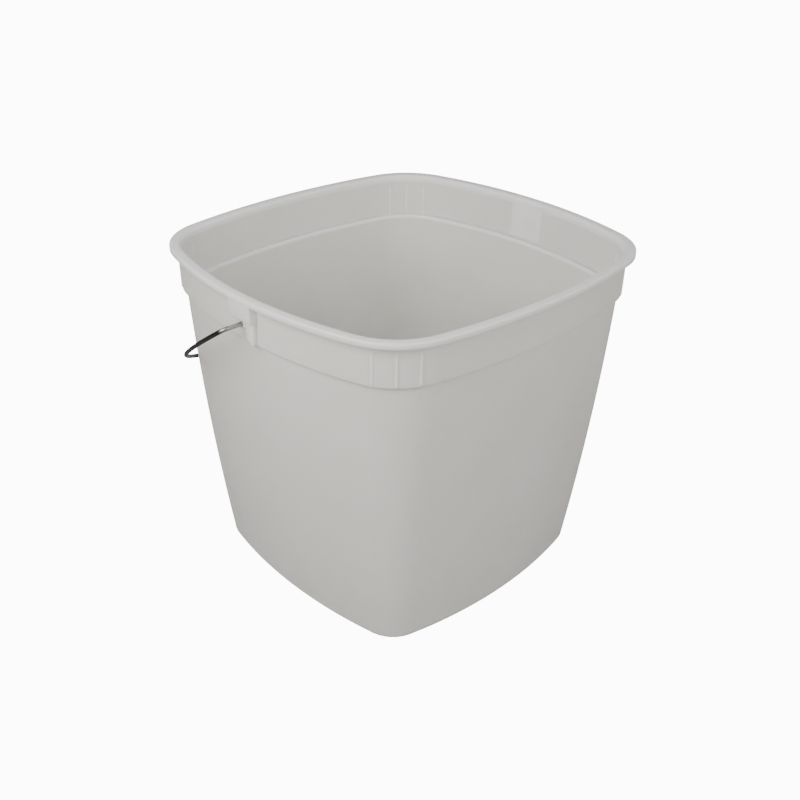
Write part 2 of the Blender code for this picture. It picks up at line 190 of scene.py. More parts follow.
# ---- painted glow and highlight: a lighter colour on the lip, ears, ribs and ledge, where the moulding is thick ----
RIB_ATTRIBUTE = "rib"
INNER_ATTRIBUTE = "inner"
INNER_FACING = 0.3
RIB_PAINTED_GLOW = 0.5
# painted highlight line along the inner ledge
LEDGE_PAINTED_HIGHLIGHT = 1.0
LEDGE_LINE_TOP = LEDGE_DEPTH - 0.0010
LEDGE_LINE_FOOT = LEDGE_DEPTH + 0.0022
LEDGE_LINE_FADE = 0.0008
LIP_GLOW_DEPTH = LIP_HEIGHT
LIP_GLOW_FADE_DEPTH = 1.5 * LIP_HEIGHT
EAR_HALF_WIDTH = 0.0140
EAR_SOFTNESS = 0.0030
EAR_REACH_START = EAR_ROOT_X - 2.0 * WALL
EAR_REACH_FULL = EAR_ROOT_X - 1.5 * WALL
EAR_BACK_FULL = EAR_ROOT_X - WALL / 2.0
EAR_FRONT_START = EAR_ROOT_X + WALL_LAP
EAR_FRONT_FULL = EAR_ROOT_X + 2.0 * WALL_LAP

# ---- finishes: colours, (low, high) roughness, noise (scale, detail), bump (strength, distance) ----
NOISE_LOW = 0.3
NOISE_HIGH = 0.7
EVEN_STRETCH = (1.0, 1.0, 1.0)
SINGLE_WALL_TONES = ((0.30, (0.770, 0.762, 0.740)), (0.52, (0.790, 0.782, 0.762)),
                     (0.75, (0.805, 0.798, 0.780)))
# painted glow: the lighter colour that the glow mask mixes into the plastic
PAINTED_GLOW_COLOUR = (0.945, 0.932, 0.905)
NATURAL_ROUGHNESS = (0.30, 0.35)
NATURAL_SCATTER = (0.0036, 0.0033, 0.0029)
NATURAL_IOR = 1.50
CLOUD_NOISE = (14.0, 4.0)
FLOW_NOISE = (60.0, 3.0)
FLOW_STRETCH = (1.0, 1.0, 0.08)
FLOW_BUMP = (0.05, 0.0002)
GRAIN_NOISE = (900.0, 2.0)
GRAIN_BUMP = (0.08, 0.00004)
SCUFF_NOISE = (260.0, 6.0)
SCUFF_STRETCH = (1.0, 0.35, 0.2)
ZINC_TONES = ((0.35, (0.042, 0.047, 0.045)), (0.60, (0.070, 0.076, 0.073)), (0.78, (0.12, 0.125, 0.12)))
# painted reflection: the lighter colour on the wire's stubs in the ears
STUB_REFLECTION_COLOUR = (0.36, 0.36, 0.35)
STUB_REFLECTION_FULL = WIRE_RADIUS * 0.8
STUB_REFLECTION_END = WIRE_RADIUS * 2.6
STEEL_ROUGHNESS = (0.24, 0.40)
ZINC_NOISE = (420.0, 5.0)
DRAW_NOISE = (900.0, 3.0)
DRAW_STRETCH = (0.25, 0.25, 1.0)
DRAW_BUMP = (0.25, 0.00008)
GRIP_TONES = ((0.30, (0.78, 0.78, 0.755)), (0.55, (0.84, 0.84, 0.82)), (0.75, (0.87, 0.87, 0.855)))
GRIP_ROUGHNESS = (0.34, 0.48)
GRIP_SCATTER = (0.0012, 0.0011, 0.0010)
GRIP_SCATTER_SHARE = 0.4
GRIP_CLOUD_NOISE = (70.0, 4.0)
HANDLING_NOISE = (600.0, 5.0)
HANDLING_STRETCH = (0.3, 1.0, 1.0)
HANDLING_BUMP = (0.10, 0.00005)

# ---- camera ----
VIEW_AZIMUTH_DEG = -44.07
VIEW_ELEVATION_DEG = 29.42
VIEW_ROLL_DEG = 0.90
VIEW_DISTANCE = 0.8177
VIEW_TARGET_HEIGHT = 0.1253
VIEW_TARGET_SIDE = -0.0004
LENS_MM = 46.13
SENSOR_MM = 36.0

# ---- stage and lights ----
FLOOR_HALF = 6.0
BACKGROUND_STRENGTH = 12.0
SKY_STRENGTH = 0.44
SKY_COLOUR = (0.97, 0.985, 1.0)
FLOOR_TONES = ((0.3, (0.27, 0.27, 0.27)), (0.7, (0.29, 0.29, 0.29)))
FLOOR_NOISE = (3.0, 2.0)
FLOOR_ROUGHNESS = 0.9
WHITE = (1.0, 1.0, 1.0)
WARM_LIGHT = (1.0, 0.955, 0.90)
WHITE_LIGHT = (1.0, 0.985, 0.96)
Softbox = namedtuple("Softbox", "name azimuth_deg elevation_deg distance size watts colour")
SOFTBOXES = (Softbox("key", VIEW_AZIMUTH_DEG - 42.0, 35.0, 0.80, 0.50, 5.5, WARM_LIGHT),
             Softbox("fill", VIEW_AZIMUTH_DEG + 46.0, 26.0, 0.95, 0.55, 3.9, WARM_LIGHT),
             Softbox("top", VIEW_AZIMUTH_DEG, 80.0, 1.0, 0.9, 0.7, WHITE_LIGHT))

Outline = namedtuple("Outline", "half_x half_y bow_x bow_y corner")
RIM = Outline(RIM_HALF_X, RIM_HALF_Y, RIM_BOW_X, RIM_BOW_Y, RIM_CORNER)
BASE = Outline(BASE_HALF_X, BASE_HALF_Y, BASE_BOW_X, BASE_BOW_Y, BASE_CORNER)


# ---------------------------------------------------------------- outlines

def inset(outline, distance):
    """The parallel outline, a distance inside this one."""
    return Outline(*(size - distance for size in outline))


def blend(first, second, share):
    """An outline between two others."""
    return Outline(*(a + (b - a) * share for a, b in zip(first, second)))


def smooth(value):
    """An S-shaped step from 0 to 1 while the value goes from 0 to 1."""
    value = min(max(value, 0.0), 1.0)
    return value * value * (3.0 - 2.0 * value)


def corner_centre(outline):
    """Centre of the corner arc that is tangent to both bowed sides."""
    ear_side = Vector((outline.half_x - outline.bow_x, 0.0))
    plain_side = Vector((0.0, outline.half_y - outline.bow_y))
    ear_reach = outline.bow_x - outline.corner
    plain_reach = outline.bow_y - outline.corner
    apart = plain_side - ear_side
    along = (ear_reach ** 2 - plain_reach ** 2 + apart.length ** 2) / (2.0 * apart.length)
    across = math.sqrt(ear_reach ** 2 - along ** 2)
    bearing = apart.normalized()
    normal = Vector((-bearing.y, bearing.x))
    foot = ear_side + bearing * along
    return max((foot + normal * across, foot - normal * across), key=lambda point: point.x + point.y)


def corner_angles(outline):
    """Start and end angle of the corner arc in the +X +Y quarter."""
    centre = corner_centre(outline)
    start = math.atan2(centre.y, centre.x - (outline.half_x - outline.bow_x))
    end = math.atan2(centre.y - (outline.half_y - outline.bow_y), centre.x)
    return start, end


def rib_angles():
    """Directions of the ribs about the corner's centre, in the +X +Y quarter."""
    start, end = corner_angles(RIM)
    middle = (start + end) / 2.0
    return [middle + math.radians(RIB_PITCH_DEG) * (index - (RIBS_PER_CORNER - 1) / 2.0)
            for index in range(RIBS_PER_CORNER)]


def corner_shares():
    """Where the columns stand along a corner arc, from 0 to 1, with extra ones on the ribs."""
    start, end = corner_angles(RIM)
    shares = {round(step / CORNER_STEPS, SHARE_DIGITS) for step in range(CORNER_STEPS)}
    half_turn = RIB_HALF_WIDTH / (RIM_CORNER - BAND_INSET_BOTTOM)
    for angle in rib_angles():
        keep_off = RIB_CLEARANCE * half_turn
        shares = {share for share in shares if abs(start + (end - start) * share - angle) > keep_off}
        for column in range(-RIB_COLUMNS, RIB_COLUMNS + 1):
            stand = angle + half_turn * column / RIB_COLUMNS
            shares.add(round((stand - start) / (end - start), SHARE_DIGITS))
    return sorted(shares)


CORNER_SHARES = corner_shares()


def mirrored(shares):
    """The same columns for a corner that is passed in the other direction."""
    return [0.0] + [1.0 - share for share in reversed(shares[1:])]


def outline_points(outline):
    """Points round the outline, counter-clockwise; every outline has the same number of them."""
    start, end = corner_angles(outline)
    centre = corner_centre(outline)
    turn = end - start
    sides = [step / SIDE_STEPS for step in range(SIDE_STEPS)]
    arcs = [(outline.half_x - outline.bow_x, 0.0, outline.bow_x, -start, 2.0 * start, sides),
            (centre.x, centre.y, outline.corner, start, turn, CORNER_SHARES),
            (0.0, outline.half_y - outline.bow_y, outline.bow_y, end, math.pi - 2.0 * end, sides),
            (-centre.x, centre.y, outline.corner, math.pi - end, turn, mirrored(CORNER_SHARES))]
    half = []
    for centre_x, centre_y, radius, first, sweep, shares in arcs:
        for share in shares:
            angle = first + sweep * share
            half.append((centre_x + radius * math.cos(angle), centre_y + radius * math.sin(angle)))
    return half + [(-x, -y) for x, y in half]


def wall_outline(z):
    """Outer outline of the tapered wall at a height."""
    share = (HEIGHT - SHOULDER_DEPTH - z) / (HEIGHT - SHOULDER_DEPTH - FOOT_EDGE)
    bulge = WALL_BULGE * 4.0 * share * (1.0 - share)
    plain = blend(inset(RIM, SHOULDER_INSET), BASE, share)
    return Outline(plain.half_x + bulge, plain.half_y + bulge, plain.bow_x, plain.bow_y, plain.corner)


# ---------------------------------------------------------------- mesh helpers

def arc(centre, radius, start_deg, end_deg, steps=ROUND_STEPS):
    """Points (inset, z) on an arc; 0 degrees points inwards and 90 degrees points up."""
    points = []
    for step in range(steps + 1):
        angle = math.radians(start_deg + (end_deg - start_deg) * step / steps)
        points.append((centre[0] + radius * math.cos(angle), centre[1] + radius * math.sin(angle)))
    return points


def line(start, end, steps):
    """Points between two (inset, z) points, without either of them."""
    return [(start[0] + (end[0] - start[0]) * step / steps, start[1] + (end[1] - start[1]) * step / steps)
            for step in range(1, steps)]


def skin_rings(builder, rings, closed=False):
    """Quads between neighbouring rings of points, and a face on each open end."""
    rows = [[builder.verts.new(point) for point in ring] for ring in rings]
    pairs = list(zip(rows, rows[1:]))
    if closed:
        pairs.append((rows[-1], rows[0]))
    for lower, upper in pairs:
        for index in range(len(lower)):
            following = (index + 1) % len(lower)
            builder.faces.new((lower[index], lower[following], upper[following], upper[index]))
    if not closed:
        builder.faces.new(rows[0])
        builder.faces.new(rows[-1])


def mesh_object(name, builder, finish=None):
    """Object from a bmesh, with its normals outwards and its round faces smooth."""
    bmesh.ops.recalc_face_normals(builder, faces=builder.faces)
    mesh = bpy.data.meshes.new(name)
    builder.to_mesh(mesh)
    builder.free()
    mesh.shade_smooth()
    mesh.set_sharp_from_angle(angle=math.radians(SHARP_ANGLE_DEG))
    made = bpy.data.objects.new(name, mesh)
    bpy.context.scene.collection.objects.link(made)
    if finish:
        mesh.materials.append(finish)
    return made


def apply_modifiers(made):
    """Turns what the modifiers make into the object's own mesh."""
    graph = bpy.context.evaluated_depsgraph_get()
    result = bpy.data.meshes.new_from_object(made.evaluated_get(graph))
    made.modifiers.clear()
    made.data = result
    made.data.set_sharp_from_angle(angle=math.radians(SHARP_ANGLE_DEG))


def combine(target, tools, operation):
    """Joins helper solids to the target, or cuts them out of it, and removes them."""
    for tool in tools:
        step = target.modifiers.new(tool.name, "BOOLEAN")
        step.operation = operation
        step.solver = "EXACT"
        step.object = tool
    apply_modifiers(target)
    for tool in tools:
        bpy.data.objects.remove(tool)


# ---------------------------------------------------------------- shell

def gate_rings():
    """The moulding's gate mark in the middle of the underside, as (radius, z)."""
    floor = FOOT_RECESS
    return [(GATE_NUB_RADIUS / 2.0, floor + GATE_DEPTH - GATE_ROUND / 2.0),
            (GATE_NUB_RADIUS, floor + GATE_DEPTH - GATE_ROUND / 2.0),
            (GATE_NUB_RADIUS + GATE_ROUND / 3.0, floor + GATE_DEPTH),
            (GATE_RADIUS - GATE_ROUND, floor + GATE_DEPTH),
            (GATE_RADIUS, floor),
            (GATE_RADIUS + GATE_ROUND, floor)]


def disc_ring(points, radius, z):
    """A circle whose points lie in the same directions as an outline's."""
    return [Vector((x, y, 0.0)).normalized() * radius + Vector((0.0, 0.0, z)) for x, y in points]


def panel_rings(outline, inner_ring, z):
    """Rings that spread a flat panel from a small ring out to an outline."""
    edge = [Vector((x, y, z)) for x, y in outline_points(outline)]
    return [[start.lerp(end, share) for start, end in zip(inner_ring, edge)] for share in PANEL_SHARES]


def levels_to_rings(levels):
    """Rings of points from (outline, z) levels."""
    return [[Vector((x, y, z)) for x, y in outline_points(outline)] for outline, z in levels]


def underside_rings():
    """Gate mark, recessed panel, flat foot ring and the rounded bottom edge."""
    ring_inner = FOOT_EDGE + FOOT_RING_WIDTH
    panel = inset(BASE, ring_inner + FOOT_RECESS)
    directions = outline_points(panel)
    rings = [disc_ring(directions, radius, z) for radius, z in gate_rings()]
    rings += panel_rings(panel, rings[-1], FOOT_RECESS)
    levels = [(inset(BASE, ring_inner + distance), z)
              for distance, z in arc((FOOT_RECESS, 0.0), FOOT_RECESS, 90.0, 180.0)]
    levels += [(inset(BASE, distance), z)
               for distance, z in arc((FOOT_EDGE, FOOT_EDGE), FOOT_EDGE, -90.0, -180.0)]
    return rings + levels_to_rings(levels)


def outer_wall_rings():
    """Outside of the tapered wall, from the foot up to the shoulder."""
    top = HEIGHT - SHOULDER_DEPTH
    heights = [FOOT_EDGE + (top - FOOT_EDGE) * step / WALL_STEPS for step in range(1, WALL_STEPS + 1)]
    return levels_to_rings([(wall_outline(z), z) for z in heights])


def rib_lift(position, proud, low_z, top_z):
    """How far a rib stands from the band at a point of it, 0 away from the ribs."""
    centre = corner_centre(RIM)
    across = Vector((abs(position.x) - centre.x, abs(position.y) - centre.y))
    if across.x <= 0.0 or across.y <= 0.0:
        return 0.0
    slope = RIB_HALF_WIDTH - RIB_CREST_HALF_WIDTH
    angle = math.atan2(across.y, across.x)
    off = min(abs(angle - rib) for rib in rib_angles()) * across.length
    side = smooth((RIB_HALF_WIDTH - off) / slope)
    end = smooth((position.z - low_z) / RIB_END_ROUND) * smooth((top_z - position.z) / RIB_FADE)
    return proud * side * end


def ribbed_rings(profile, proud, low_z, top_z, outwards):
    """Rings of the band with the corner ribs raised from it."""
    rings = []
    centre = corner_centre(RIM)
    for ring in levels_to_rings([(inset(RIM, distance), z) for distance, z in profile]):
        raised = []
        for position in ring:
            lift = rib_lift(position, proud, low_z, top_z)
            if lift:
                middle = Vector((math.copysign(centre.x, position.x), math.copysign(centre.y, position.y)))
                away = (position.xy - middle).normalized() * (lift if outwards else -lift)
                position = position + Vector((away.x, away.y, 0.0))
            raised.append(position)
        rings.append(raised)
    return rings


def band_rings():
    """The step out to the band, and the band with its ribs, up to the groove under the lip."""
    step_z = HEIGHT - BAND_DEPTH
    groove_z = HEIGHT - LIP_TOP_THICKNESS
    profile = arc((SHOULDER_INSET - STEP_FILLET, step_z - STEP_FILLET), STEP_FILLET, 0.0, 90.0)
    foot = (BAND_INSET_BOTTOM, step_z + BAND_EDGE)
    top = (BAND_INSET_TOP, groove_z - LIP_EDGE_ROUND)
    profile += arc((BAND_INSET_BOTTOM + BAND_EDGE, foot[1]), BAND_EDGE, -90.0, -180.0)
    run_in = (foot[0], foot[1] + RIB_END_ROUND)
    profile += line(foot, run_in, RIB_RUN_IN_STEPS)
    profile.append(run_in)
    profile += line(run_in, top, BAND_STEPS)
    profile.append(top)
    profile += arc((BAND_INSET_TOP - LIP_EDGE_ROUND, groove_z - LIP_EDGE_ROUND), LIP_EDGE_ROUND, 0.0, 90.0)
    return ribbed_rings(profile, RIB_PROUD_OUTSIDE, foot[1], HEIGHT - RIB_OUTER_TOP_DEPTH, outwards=True)


def lip_rings():
    """The groove's roof, the skirt, the rounded lip and its roll down to the inner face."""
    groove_z = HEIGHT - LIP_TOP_THICKNESS
    skirt_z = HEIGHT - LIP_HEIGHT
    half_edge = LIP_EDGE_ROUND / 2.0
    inner_face = BAND_INSET_TOP + WALL
    profile = arc((LIP_SKIRT + half_edge, groove_z - half_edge), half_edge, 90.0, 180.0)
    profile += arc((LIP_SKIRT - half_edge, skirt_z + half_edge), half_edge, 0.0, -90.0)
    profile += arc((half_edge, skirt_z + half_edge), half_edge, -90.0, -180.0)
    profile += arc((LIP_EDGE_ROUND, HEIGHT - LIP_EDGE_ROUND), LIP_EDGE_ROUND, 180.0, 90.0)
    inner_centre = (inner_face - LIP_INNER_ROUND, HEIGHT - LIP_INNER_ROUND)
    profile += arc(inner_centre, LIP_INNER_ROUND, 90.0, 0.0, 2 * ROUND_STEPS)
    return levels_to_rings([(inset(RIM, distance), z) for distance, z in profile])


def inner_band_rings():
    """Inside of the band with its ribs, and the ledge where the wall steps in."""
    ledge_z = HEIGHT - LEDGE_DEPTH
    rib_top_z = HEIGHT - RIB_INNER_TOP_DEPTH
    band_face = BAND_INSET_BOTTOM + WALL
    wall_face = SHOULDER_INSET + WALL
    start = (BAND_INSET_TOP + WALL, HEIGHT - LIP_INNER_ROUND)
    end = (band_face, ledge_z + LEDGE_ROUND)
    profile = line(start, end, BAND_STEPS)
    profile += arc((band_face + LEDGE_ROUND, ledge_z + LEDGE_ROUND), LEDGE_ROUND, 180.0, 270.0)
    rib_low_z = ledge_z - RIB_END_ROUND / 2.0
    rings = ribbed_rings(profile, RIB_PROUD_INSIDE, rib_low_z, rib_top_z, outwards=False)
    step = arc((wall_face - LEDGE_ROUND, ledge_z - LEDGE_ROUND), LEDGE_ROUND, 90.0, 0.0)
    return rings + levels_to_rings([(inset(RIM, distance), z) for distance, z in step])


def inner_wall_rings():
    """Inside of the tapered wall, the fillet at its foot, and the floor."""
    floor_z = FOOT_RECESS + WALL
    top = HEIGHT - SHOULDER_DEPTH
    low = floor_z + FLOOR_FILLET
    heights = [top + (low - top) * step / WALL_STEPS for step in range(WALL_STEPS)]
    levels = [(inset(wall_outline(z), WALL), z) for z in heights]
    wall_face = inset(wall_outline(low), WALL)
    levels += [(inset(wall_face, distance), z)
               for distance, z in arc((FLOOR_FILLET, low), FLOOR_FILLET, 180.0, 270.0)]
    floor = levels[-1][0]
    middle = disc_ring(outline_points(floor), GATE_RADIUS, floor_z)
    panel = panel_rings(floor, middle, floor_z)
    return levels_to_rings(levels) + list(reversed(panel)) + [middle]


def add_slab(builder, profile, near_side, far_side, turn):
    """A solid along Y from an (x, z) profile, turned about Z; a side is (y at the foot, y at the top)."""
    foot = min(z for x, z in profile)
    height = max(z for x, z in profile) - foot
    rings = []
    for foot_y, top_y in (near_side, far_side):
        lean = (top_y - foot_y) / height
        rings.append([turn @ Vector((x, foot_y + lean * (z - foot), z)) for x, z in profile])
    skin_rings(builder, rings)


def add_rod(builder, start_x, end_x, radius, turn):
    """A rod on the pivot axis, turned about Z."""
    rings = []
    for x in (start_x, end_x):
        rings.append([turn @ Vector((x, radius * math.cos(angle), PIVOT.z + radius * math.sin(angle)))
                      for angle in (2.0 * math.pi * side / BOSS_SIDES for side in range(BOSS_SIDES))])
    skin_rings(builder, rings)


def rounded(builder, radius):
    """Rounds every sharp edge of the solids in the bmesh."""
    bmesh.ops.recalc_face_normals(builder, faces=builder.faces)
    limit = math.radians(EAR_SHARP_ANGLE_DEG)
    sharp = [edge for edge in builder.edges if edge.calc_face_angle(0.0) > limit]
    bmesh.ops.bevel(builder, geom=sharp, offset=radius, segments=EAR_ROUND_SEGMENTS, profile=0.5,
                    affect="EDGES", clamp_overlap=True)


def ear_solids():
    """The rounded aprons, posts, webs and bosses of both ears, and the sockets cut into them."""
    aprons, posts, webs, bosses, sockets = (bmesh.new() for _ in range(5))
    apron_foot_z = HEIGHT - APRON_DEPTH
    apron_top_z = HEIGHT - LIP_TOP_THICKNESS + LIP_LAP
    post_foot_z = HEIGHT - POST_DEPTH
    post_top_z = apron_foot_z + 2.0 * EAR_LAP
    apron_profile = [(EAR_ROOT_X, apron_foot_z), (APRON_FOOT_X, apron_foot_z),
                     (APRON_TOP_X, HEIGHT - LIP_HEIGHT), (APRON_TOP_X, apron_top_z),
                     (EAR_ROOT_X, apron_top_z)]
    post_profile = [(EAR_ROOT_X, post_foot_z), (POST_X, post_foot_z), (POST_X, post_top_z),
                    (EAR_ROOT_X, post_top_z)]
    web_foot_z = HEIGHT - WEB_DEPTH
    web_profile = [(EAR_ROOT_X, web_foot_z), (WEB_X, web_foot_z), (WEB_X, post_top_z),
                   (EAR_ROOT_X, post_top_z)]
    for half_turns in (0, 1):
        turn = Matrix.Rotation(math.pi * half_turns, 3, "Z")
        add_slab(aprons, apron_profile, (APRON_NEAR_Y, APRON_NEAR_Y), (APRON_FAR_Y, APRON_FAR_Y), turn)
        add_slab(posts, post_profile, (POST_FOOT_NEAR_Y, POST_TOP_NEAR_Y),
                 (POST_FOOT_FAR_Y, POST_TOP_FAR_Y), turn)
        add_slab(webs, web_profile, (WEB_FOOT_NEAR_Y, WEB_TOP_NEAR_Y),
                 (POST_FOOT_NEAR_Y + EAR_LAP, POST_TOP_NEAR_Y + EAR_LAP), turn)
        add_rod(bosses, EAR_ROOT_X, BOSS_X, BOSS_RADIUS, turn)
        add_rod(sockets, SOCKET_BOTTOM_X, SOCKET_END_X, SOCKET_RADIUS, turn)
    for solid in (aprons, posts, webs, bosses):
        rounded(solid, EAR_EDGE_ROUND)
    joined = [mesh_object("aprons", aprons), mesh_object("posts", posts), mesh_object("webs", webs),
              mesh_object("bosses", bosses)]
    return joined, [mesh_object("sockets", sockets)]


def faces_in(vertex):
    """True where the surface faces the bucket's axis or lies level, as the inner faces do."""
    away = Vector((vertex.co.x, vertex.co.y, 0.0)).normalized()
    return vertex.normal.dot(away) < INNER_FACING and vertex.normal.z > -INNER_FACING


def mark_shell(shell):
    """Writes on each vertex how much of a rib it is, and whether it is on an inner face, for the painted
    glow on the ribs and the painted highlight on the ledge.
    """
    foot_z = HEIGHT - LEDGE_DEPTH
    top_z = HEIGHT - RIB_OUTER_TOP_DEPTH
    vertices = shell.data.vertices
    ribs = [rib_lift(vertex.co, 1.0, foot_z, top_z) if vertex.co.z > foot_z else 0.0 for vertex in vertices]
    inner = [float(faces_in(vertex)) for vertex in vertices]
    for name, values in ((RIB_ATTRIBUTE, ribs), (INNER_ATTRIBUTE, inner)):
        attribute = shell.data.attributes.new(name, "FLOAT", "POINT")
        attribute.data.foreach_set("value", values)


def make_shell(plastic):
    """The bucket's one moulding, in place of the CAD body."""
    builder = bmesh.new()
    skin_rings(builder, underside_rings() + outer_wall_rings() + band_rings() + lip_rings()
               + inner_band_rings() + inner_wall_rings())
    shell = mesh_object("bucket_shell", builder, plastic)
    joined, cut = ear_solids()
    combine(shell, joined, "UNION")
    combine(shell, cut, "DIFFERENCE")
    mark_shell(shell)
    return shell


# ---------------------------------------------------------------- bail

def arc_point(centre_x, centre_y, radius, angle):
    """A point on a circle in the bail's plane."""
    return Vector((centre_x + radius * math.cos(angle), centre_y + radius * math.sin(angle)))


def half_bail_path():
    """One half of the wire's centre line in the bail's plane, from the tip in the ear to the crown."""
    reach = BAIL_ARC_RADIUS - BAIL_BEND_RADIUS
    bend_x = math.sqrt(reach ** 2 - (BAIL_BEND_RADIUS - BAIL_ARC_CENTRE) ** 2)
    touch = math.atan2(BAIL_BEND_RADIUS - BAIL_ARC_CENTRE, bend_x)
    crown = math.acos(CROWN_HALF_WIDTH / BAIL_ARC_RADIUS)
    path = [Vector((BAIL_END_X, 0.0))]
    for step in range(BAIL_BEND_STEPS):
        angle = -math.pi / 2.0 + (touch + math.pi / 2.0) * step / BAIL_BEND_STEPS
        path.append(arc_point(bend_x, BAIL_BEND_RADIUS, BAIL_BEND_RADIUS, angle))
    for step in range(BAIL_ARC_STEPS + 1):
        angle = touch + (crown - touch) * step / BAIL_ARC_STEPS
        path.append(arc_point(0.0, BAIL_ARC_CENTRE, BAIL_ARC_RADIUS, angle))
    centre = path[-1] - arc_point(0.0, 0.0, CROWN_BEND_RADIUS, crown)
    for step in range(1, CROWN_BEND_STEPS + 1):
        angle = crown + (math.pi / 2.0 - crown) * step / CROWN_BEND_STEPS
        path.append(arc_point(centre.x, centre.y, CROWN_BEND_RADIUS, angle))
    return path


def wire_rings(path):
    """Rings of the rod along a path, with its two cut ends rounded."""
    rings = []
    for index, point in enumerate(path):
        before = path[max(index - 1, 0)]
        after = path[min(index + 1, len(path) - 1)]
        along = (after - before).normalized()
        side = Vector((-along.y, along.x))
        rings.append(wire_ring(point, side, WIRE_RADIUS))
        if index in (0, len(path) - 1):
            inwards = along if index == 0 else -along
            turns = [math.pi / 2.0 * step / WIRE_END_STEPS for step in range(WIRE_END_STEPS, -1, -1)]
            tip = [wire_ring(point + inwards * WIRE_END_ROUND * (1.0 - math.sin(turn)), side,
                             WIRE_RADIUS - WIRE_END_ROUND * (1.0 - math.cos(turn)))
                   for turn in turns]
            rings[-1:] = tip if index == 0 else list(reversed(tip))
    return rings


def wire_ring(point, side, radius):
    """A round ring across the wire, spanned by a direction in the bail's plane and the plane's normal."""
    ring = []
    for corner in range(WIRE_SIDES):
        angle = 2.0 * math.pi * corner / WIRE_SIDES
        across = point + side * radius * math.cos(angle)
        ring.append((across.x, across.y, radius * math.sin(angle)))
    return ring


def make_bail(steel):
    """The bail's wire, in place of the CAD wire, hanging at its rest angle."""
    half = half_bail_path()
    path = half + [Vector((-point.x, point.y)) for point in reversed(half)]
    builder = bmesh.new()
    skin_rings(builder, wire_rings(path))
    bail = mesh_object("bail_rod", builder, steel)
    hang = GRIP_CENTRE - PIVOT
    bail.location = PIVOT
    bail.rotation_euler = (math.atan2(hang.z, hang.y), 0.0, 0.0)
    return bail


# ---------------------------------------------------------------- grip

def grip_profile():
    """Closed (x, radius) profile of the grip: a bored tube with flanged ends and moulded beads."""
    body_half = GRIP_HALF_LENGTH - GRIP_FLANGE_WIDTH
    outer = (-GRIP_HALF_LENGTH + GRIP_EDGE, GRIP_FLANGE_RADIUS - GRIP_EDGE)
    inner = (-body_half - GRIP_EDGE, GRIP_FLANGE_RADIUS - GRIP_EDGE)
    bore = (-GRIP_HALF_LENGTH + GRIP_EDGE, GRIP_BORE_RADIUS + GRIP_EDGE)
    end = arc(bore, GRIP_EDGE, 270.0, 180.0) + arc(outer, GRIP_EDGE, 180.0, 90.0)
    end += arc(inner, GRIP_EDGE, 90.0, 0.0)
    end.append((-body_half, GRIP_RADIUS + GRIP_NECK))
    end += arc((-body_half + GRIP_NECK, GRIP_RADIUS + GRIP_NECK), GRIP_NECK, 180.0, 270.0)[1:]
    pitch = 2.0 * body_half / (GRIP_BEAD_COUNT + 1)
    beads = []
    for bead in range(GRIP_BEAD_COUNT):
        start = -body_half + pitch * (bead + 1 - GRIP_BEAD_SHARE / 2.0)
        for step in range(BEAD_STEPS + 1):
            lift = GRIP_BEAD_HEIGHT * math.sin(math.pi * step / BEAD_STEPS) ** 2
            beads.append((start + pitch * GRIP_BEAD_SHARE * step / BEAD_STEPS, GRIP_RADIUS + lift))
    return end + beads + [(-x, radius) for x, radius in reversed(end)]


def make_grip(plastic):
    """The grip tube, in place of the CAD grip."""
    profile = grip_profile()
    rings = []
    for side in range(GRIP_SIDES):
        angle = 2.0 * math.pi * side / GRIP_SIDES
        rings.append([(x, radius * math.cos(angle), radius * math.sin(angle)) for x, radius in profile])
    builder = bmesh.new()
    skin_rings(builder, rings, closed=True)
    grip = mesh_object("grip_tube", builder, plastic)
    grip.location = GRIP_CENTRE
    return grip


# ---------------------------------------------------------------- materials

def new_material(name):
    """A node material, with its nodes, its links and its shader."""
    made = bpy.data.materials.new(name)
    made.use_nodes = True
    return made, made.node_tree.nodes, made.node_tree.links, made.node_tree.nodes["Principled BSDF"]


def noise(nodes, links, vector, grade, stretch=EVEN_STRETCH):
    """Noise of a (scale, detail) in the piece's own coordinates, longer where the stretch is small."""
    scale, detail = grade
    mapping = nodes.new("ShaderNodeMapping")
    mapping.inputs["Scale"].default_value = stretch
    texture = nodes.new("ShaderNodeTexNoise")
    texture.inputs["Scale"].default_value = scale
    texture.inputs["Detail"].default_value = detail
    links.new(vector, mapping.inputs["Vector"])
    links.new(mapping.outputs["Vector"], texture.inputs["Vector"])
    return texture.outputs["Fac"]


def ramp(nodes, links, value, stops):
    """A colour ramp through (place, colour) stops."""
    made = nodes.new("ShaderNodeValToRGB")
    points = made.color_ramp.elements
    while len(points) < len(stops):
        points.new(0.5)
    for point, (place, colour) in zip(points, stops):
        point.position = place
        point.color = (*colour, 1.0)
    links.new(value, made.inputs["Fac"])
    return made.outputs["Color"]


def spread(nodes, links, value, reach):
    """Maps noise to a (low, high) reach, for roughness."""
    low, high = reach
    made = nodes.new("ShaderNodeMapRange")
    made.inputs["From Min"].default_value = NOISE_LOW
    made.inputs["From Max"].default_value = NOISE_HIGH
    made.inputs["To Min"].default_value = low
    made.inputs["To Max"].default_value = high
    links.new(value, made.inputs["Value"])
    return made.outputs["Result"]


def bump(nodes, links, heights, shader):
    """Stacks bumps of (height, (strength, distance)) and feeds the shader's normal."""
    normal = None
    for height, (strength, distance) in heights:
        made = nodes.new("ShaderNodeBump")
        made.inputs["Strength"].default_value = strength
        made.inputs["Distance"].default_value = distance
        links.new(height, made.inputs["Height"])
        if normal:
            links.new(normal, made.inputs["Normal"])
        normal = made.outputs["Normal"]
    links.new(normal, shader.inputs["Normal"])


def calculate(nodes, links, operation, first, second=None):
    """One step of arithmetic on node values; a second input may be a node value or a number."""
    made = nodes.new("ShaderNodeMath")
    made.operation = operation
    links.new(first, made.inputs[0])
    if isinstance(second, float):
        made.inputs[1].default_value = second
    elif second:
        links.new(second, made.inputs[1])
    return made.outputs["Value"]


